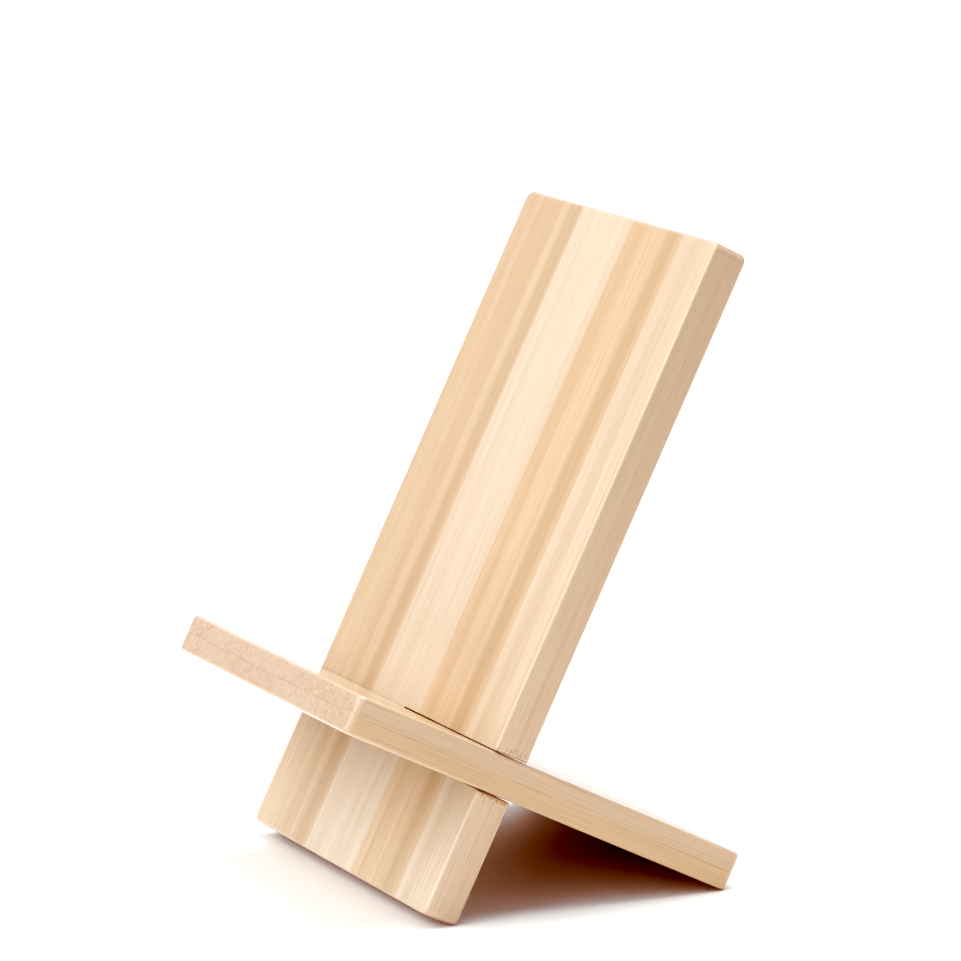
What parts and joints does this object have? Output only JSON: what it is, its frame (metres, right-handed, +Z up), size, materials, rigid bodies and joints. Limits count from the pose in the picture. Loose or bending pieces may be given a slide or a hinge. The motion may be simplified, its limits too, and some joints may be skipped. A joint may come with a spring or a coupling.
{
  "type": "phone stand",
  "caption": "Slot-together desk phone stand: a leaning laminated bamboo back board crossed at a right angle by a sloping shelf board that carries the phone.",
  "frame": {"origin": "middle of the bounding box, on the desk that both feet touch", "axes": "+X across the boards' width to the right of someone facing the phone, +Y to the rear, +Z up"},
  "size_m": [0.077, 0.0864, 0.1287],
  "materials": {
    "bamboo_pale": "satin",
    "bamboo_cream": "satin",
    "bamboo_tan": "satin",
    "bamboo_caramel": "satin"
  },
  "bodies": {
    "back_board": {"back_face_strip_1": "bamboo_tan", "back_face_strip_2": "bamboo_cream", "back_face_strip_3_lower": "bamboo_caramel", "back_face_strip_3_upper": "bamboo_caramel", "back_face_strip_4_lower": "bamboo_pale", "back_face_strip_4_upper": "bamboo_pale", "back_rear_strip_1": "bamboo_cream", "back_rear_strip_2": "bamboo_tan", "back_rear_strip_3": "bamboo_pale", "back_rear_strip_4_lower": "bamboo_tan", "back_rear_strip_4_upper": "bamboo_tan"},
    "shelf_board": {"shelf_top_strip_1_front": "bamboo_pale", "shelf_top_strip_1_rear": "bamboo_pale", "shelf_top_strip_2_front": "bamboo_cream", "shelf_top_strip_2_rear": "bamboo_cream", "shelf_top_strip_3": "bamboo_pale", "shelf_top_strip_4": "bamboo_tan", "shelf_under_strip_1_front": "bamboo_pale", "shelf_under_strip_1_rear": "bamboo_pale", "shelf_under_strip_2": "bamboo_tan", "shelf_under_strip_3": "bamboo_cream", "shelf_under_strip_4": "bamboo_caramel"}
  },
  "joints": [
    {"name": "shelf_slide", "type": "slide", "parent": "back_board", "child": "shelf_board", "axis": [1, 0, 0], "range_m": [0, 0.077]}
  ]
}
